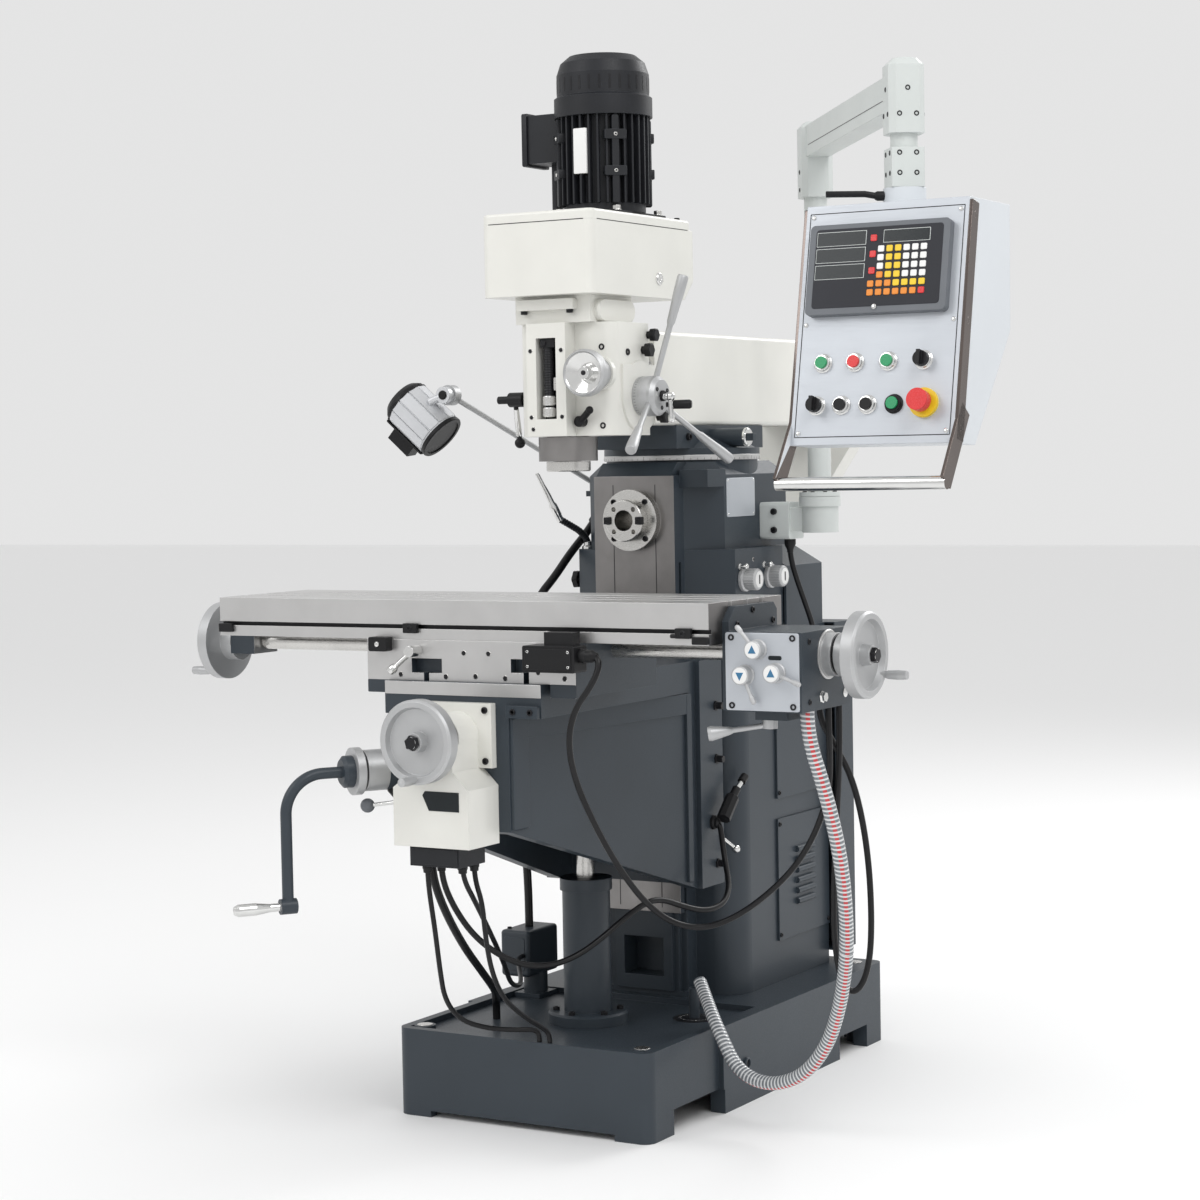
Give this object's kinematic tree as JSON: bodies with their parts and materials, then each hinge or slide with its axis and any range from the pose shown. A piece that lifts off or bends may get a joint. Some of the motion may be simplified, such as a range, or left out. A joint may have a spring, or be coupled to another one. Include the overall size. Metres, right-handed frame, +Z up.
{
  "type": "universal milling machine",
  "caption": "Universal knee milling machine with a swivelling ram and tilting vertical head, horizontal spindle, power-feed table, work lamp and control pendant.",
  "frame": {"origin": "centre of the anchor bolt pattern on the base underside", "axes": "+X to the operator's right along the table, +Y from the operator to the column, +Z up"},
  "size_m": [1.715, 1.867, 2.157],
  "materials": {
    "slate_casting": "slate blue-grey semi-gloss enamel on cast iron",
    "ivory_casting": "ivory semi-gloss enamel on cast iron",
    "ground_iron": "ground and scraped bare iron",
    "ground_steel": "turned and ground steel",
    "slate_sheet": "slate blue-grey painted sheet",
    "pale_sheet": "pale blue-white powder coat",
    "pale_casting": "pale grey-green paint",
    "handwheel_alloy": "matte cast alloy with turned rim",
    "motor_black": "black semi-matte paint",
    "black_plastic": "moulded black plastic",
    "grey_plastic": "moulded grey plastic",
    "green_plastic": "moulded green plastic",
    "red_plastic": "moulded red plastic",
    "belt_rubber": "black rubber",
    "hose_pvc": "clear PVC with a wire spiral and a red line",
    "cable_black": "black cable sheath",
    "lamp_alloy": "bright ribbed extrusion"
  },
  "bodies": {
    "machine_column": {"base": "slate_casting", "column": "slate_casting", "screw_pedestal": "slate_casting", "column_covers": "slate_sheet", "electrical_cabinet": "slate_sheet", "coolant_pump": "slate_casting", "pendant_bracket": "pale_casting", "column_cables": "cable_black"},
    "knee": {"knee": "slate_casting", "knee_gearbox": "ivory_casting", "knee_cables": "cable_black"},
    "elevating_screw": {"elevating_screw": "ground_steel"},
    "knee_crank": {"knee_crank": "slate_casting"},
    "cross_handwheel": {"cross_handwheel": "handwheel_alloy"},
    "saddle": {"saddle": "ground_iron", "table_limit_switch": "black_plastic"},
    "saddle_clamp_lever": {"saddle_clamp_lever": "ground_steel"},
    "table": {"table": "ground_iron", "feed_gearbox": "slate_casting", "table_cables": "cable_black", "coolant_hose": "hose_pvc"},
    "table_screw": {"table_screw": "ground_steel", "table_handwheels": "handwheel_alloy"},
    "feed_selector_top": {"feed_selector_top": "black_plastic"},
    "feed_selector_left": {"feed_selector_left": "black_plastic"},
    "feed_selector_right": {"feed_selector_right": "black_plastic"},
    "feed_lever": {"feed_lever": "ground_steel"},
    "horizontal_spindle": {"horizontal_spindle": "ground_steel"},
    "speed_dial_front": {"speed_dial_front": "handwheel_alloy"},
    "speed_dial_rear": {"speed_dial_rear": "handwheel_alloy"},
    "turret": {"turret": "slate_casting"},
    "ram": {"ram": "ivory_casting", "arbor_support": "ivory_casting"},
    "head": {"head": "ivory_casting", "belt_housing": "pale_casting", "belt_lid": "pale_casting", "drive_motor": "motor_black", "drive_belt": "belt_rubber"},
    "quill": {"quill": "ground_steel"},
    "vertical_spindle": {"vertical_spindle": "ground_steel"},
    "spindle_pulley": {"spindle_pulley": "handwheel_alloy"},
    "motor_pulley": {"motor_pulley": "handwheel_alloy"},
    "quill_feed_hub": {"quill_feed_hub": "ground_steel"},
    "fine_feed_wheel": {"fine_feed_wheel": "handwheel_alloy"},
    "quill_lock_lever": {"quill_lock_lever": "ground_steel"},
    "feed_clutch_lever": {"feed_clutch_lever": "slate_casting"},
    "lamp_arm": {"lamp_arm": "ground_steel"},
    "lamp_head": {"lamp_head": "lamp_alloy"},
    "pendant_arm": {"pendant_arm": "pale_casting"},
    "pendant_box": {"pendant_box": "pale_sheet", "dro_console": "grey_plastic"},
    "start_button": {"start_button": "green_plastic"},
    "stop_button": {"stop_button": "red_plastic"},
    "reverse_button": {"reverse_button": "green_plastic"},
    "jog_button_left": {"jog_button_left": "black_plastic"},
    "jog_button_right": {"jog_button_right": "black_plastic"},
    "lit_button": {"lit_button": "green_plastic"},
    "emergency_stop": {"emergency_stop": "red_plastic"},
    "speed_switch": {"speed_switch": "black_plastic"},
    "mode_switch": {"mode_switch": "black_plastic"}
  },
  "joints": [
    {"name": "knee_slide", "type": "slide", "parent": "machine_column", "child": "knee", "axis": [0, 0, 1], "range_m": [-0.15, 0.14], "deforming": ["knee_cables", "coolant_hose"]},
    {"name": "elevating_screw_turn", "type": "hinge", "parent": "knee", "child": "elevating_screw", "pos_m": [0, -0.265, 0.838], "axis": [0, 0, 1], "range_deg": [-10900, 10200]},
    {"name": "knee_crank_turn", "type": "hinge", "parent": "knee", "child": "knee_crank", "pos_m": [-0.163, -0.746, 0.735], "axis": [-0.5739, -0.8189, 0], "range_deg": [-21700, 20300]},
    {"name": "saddle_slide", "type": "slide", "parent": "knee", "child": "saddle", "axis": [0, 1, 0], "range_m": [-0.12, 0.12]},
    {"name": "cross_handwheel_turn", "type": "hinge", "parent": "knee", "child": "cross_handwheel", "pos_m": [0, -0.82, 0.806], "axis": [0, -1, 0], "range_deg": [-8700, 8700]},
    {"name": "saddle_clamp_turn", "type": "hinge", "parent": "saddle", "child": "saddle_clamp_lever", "pos_m": [-0.108, -0.7, 0.963], "axis": [0, -1, 0], "range_deg": [-25, 12]},
    {"name": "table_slide", "type": "slide", "parent": "saddle", "child": "table", "axis": [1, 0, 0], "range_m": [-0.28, 0.28], "deforming": ["table_cables"]},
    {"name": "table_screw_turn", "type": "hinge", "parent": "table", "child": "table_screw", "pos_m": [0, -0.549, 0.962], "axis": [1, 0, 0], "range_deg": [-20200, 20200]},
    {"name": "feed_selector_top_turn", "type": "hinge", "parent": "table", "child": "feed_selector_top", "pos_m": [0.609, -0.661, 0.977], "axis": [0, -1, 0], "range_deg": [-30, 30]},
    {"name": "feed_selector_left_turn", "type": "hinge", "parent": "table", "child": "feed_selector_left", "pos_m": [0.583, -0.661, 0.93], "axis": [0, -1, 0], "range_deg": [-30, 30]},
    {"name": "feed_selector_right_turn", "type": "hinge", "parent": "table", "child": "feed_selector_right", "pos_m": [0.646, -0.661, 0.935], "axis": [0, -1, 0], "range_deg": [-30, 30]},
    {"name": "feed_lever_turn", "type": "hinge", "parent": "table", "child": "feed_lever", "pos_m": [0.6, -0.6, 0.845], "axis": [0, 0, 1], "range_deg": [-20, 20]},
    {"name": "horizontal_spindle_spin", "type": "hinge", "parent": "machine_column", "child": "horizontal_spindle", "pos_m": [0, -0.0575, 1.195], "axis": [0, -1, 0], "continuous": true},
    {"name": "speed_dial_front_turn", "type": "hinge", "parent": "machine_column", "child": "speed_dial_front", "pos_m": [0.192, 0.092, 1.0645], "axis": [1, 0, 0], "range_deg": [-120, 120]},
    {"name": "speed_dial_rear_turn", "type": "hinge", "parent": "machine_column", "child": "speed_dial_rear", "pos_m": [0.192, 0.214, 1.066], "axis": [1, 0, 0], "range_deg": [-120, 120]},
    {"name": "turret_swivel", "type": "hinge", "parent": "machine_column", "child": "turret", "pos_m": [0, 0.18, 1.319], "axis": [0, 0, 1], "range_deg": [-20, 45]},
    {"name": "ram_slide", "type": "slide", "parent": "turret", "child": "ram", "axis": [0, -1, 0], "range_m": [-0.07, 0.25]},
    {"name": "head_tilt", "type": "hinge", "parent": "ram", "child": "head", "pos_m": [0, -0.115, 1.49], "axis": [0, 1, 0], "range_deg": [-45, 30]},
    {"name": "quill_slide", "type": "slide", "parent": "head", "child": "quill", "axis": [0, 0, 1], "range_m": [-0.12, 0]},
    {"name": "vertical_spindle_spin", "type": "hinge", "parent": "quill", "child": "vertical_spindle", "pos_m": [0, -0.302, 1.302], "axis": [0, 0, 1], "continuous": true},
    {"name": "spindle_pulley_spin", "type": "hinge", "parent": "head", "child": "spindle_pulley", "pos_m": [0, -0.302, 1.7], "axis": [0, 0, 1], "continuous": true},
    {"name": "motor_pulley_spin", "type": "hinge", "parent": "head", "child": "motor_pulley", "pos_m": [0, -0.135, 1.7], "axis": [0, 0, 1], "continuous": true},
    {"name": "quill_feed_turn", "type": "hinge", "parent": "head", "child": "quill_feed_hub", "pos_m": [0.14, -0.244, 1.451], "axis": [1, 0, 0], "range_deg": [-2, 362]},
    {"name": "fine_feed_turn", "type": "hinge", "parent": "head", "child": "fine_feed_wheel", "pos_m": [0.104, -0.352, 1.497], "axis": [0, -1, 0], "continuous": true},
    {"name": "quill_lock_turn", "type": "hinge", "parent": "head", "child": "quill_lock_lever", "pos_m": [0.062, -0.345, 1.402], "axis": [0, -1, 0], "range_deg": [-25, 25]},
    {"name": "feed_clutch_turn", "type": "hinge", "parent": "head", "child": "feed_clutch_lever", "pos_m": [-0.088, -0.325, 1.45], "axis": [1, 0, 0], "range_deg": [-20, 20]},
    {"name": "lamp_arm_turn", "type": "hinge", "parent": "machine_column", "child": "lamp_arm", "pos_m": [-0.185, 0.115, 1.256], "axis": [0, 0, 1], "range_deg": [-30, 10]},
    {"name": "lamp_head_tilt", "type": "hinge", "parent": "lamp_arm", "child": "lamp_head", "pos_m": [-0.405, -0.12, 1.47], "axis": [0, -1, 0], "range_deg": [-15, 25]},
    {"name": "pendant_arm_swing", "type": "hinge", "parent": "machine_column", "child": "pendant_arm", "pos_m": [0.294, 0.26, 1.236], "axis": [0, 0, 1], "range_deg": [-10, 80]},
    {"name": "pendant_box_turn", "type": "hinge", "parent": "pendant_arm", "child": "pendant_box", "pos_m": [0.781, -0.373, 1.817], "axis": [0, 0, 1], "range_deg": [-45, 45]},
    {"name": "start_button_press", "type": "slide", "parent": "pendant_box", "child": "start_button", "axis": [0, 0.9798, -0.2], "range_m": [0, 0.004], "stiffness_N_per_m": 700},
    {"name": "stop_button_press", "type": "slide", "parent": "pendant_box", "child": "stop_button", "axis": [0, 0.9798, -0.2], "range_m": [0, 0.004], "stiffness_N_per_m": 700},
    {"name": "reverse_button_press", "type": "slide", "parent": "pendant_box", "child": "reverse_button", "axis": [0, 0.9798, -0.2], "range_m": [0, 0.004], "stiffness_N_per_m": 700},
    {"name": "jog_button_left_press", "type": "slide", "parent": "pendant_box", "child": "jog_button_left", "axis": [0, 0.9798, -0.2], "range_m": [0, 0.004], "stiffness_N_per_m": 700},
    {"name": "jog_button_right_press", "type": "slide", "parent": "pendant_box", "child": "jog_button_right", "axis": [0, 0.9798, -0.2], "range_m": [0, 0.004], "stiffness_N_per_m": 700},
    {"name": "lit_button_press", "type": "slide", "parent": "pendant_box", "child": "lit_button", "axis": [0, 0.9798, -0.2], "range_m": [0, 0.004], "stiffness_N_per_m": 700},
    {"name": "emergency_stop_press", "type": "slide", "parent": "pendant_box", "child": "emergency_stop", "axis": [0, 0.9798, -0.2], "range_m": [0, 0.006], "stiffness_N_per_m": 1200},
    {"name": "speed_switch_turn", "type": "hinge", "parent": "pendant_box", "child": "speed_switch", "pos_m": [0.8815, -0.53393, 1.49463], "axis": [0, -0.9798, 0.2], "range_deg": [-45, 45]},
    {"name": "mode_switch_turn", "type": "hinge", "parent": "pendant_box", "child": "mode_switch", "pos_m": [0.6757, -0.54973, 1.41722], "axis": [0, -0.9798, 0.2], "range_deg": [-45, 45]}
  ],
  "couplings": [
    {"joint": "elevating_screw_turn", "follows": "knee_slide", "rad_per_m": 1256.6},
    {"joint": "knee_crank_turn", "follows": "knee_slide", "rad_per_m": 2513.3},
    {"joint": "cross_handwheel_turn", "follows": "saddle_slide", "rad_per_m": 1256.6},
    {"joint": "table_screw_turn", "follows": "table_slide", "rad_per_m": 1256.6},
    {"joint": "quill_feed_turn", "follows": "quill_slide", "rad_per_m": -52.36},
    {"joint": "spindle_pulley_spin", "follows": "vertical_spindle_spin", "ratio": 1},
    {"joint": "motor_pulley_spin", "follows": "vertical_spindle_spin", "ratio": 1.3902}
  ]
}
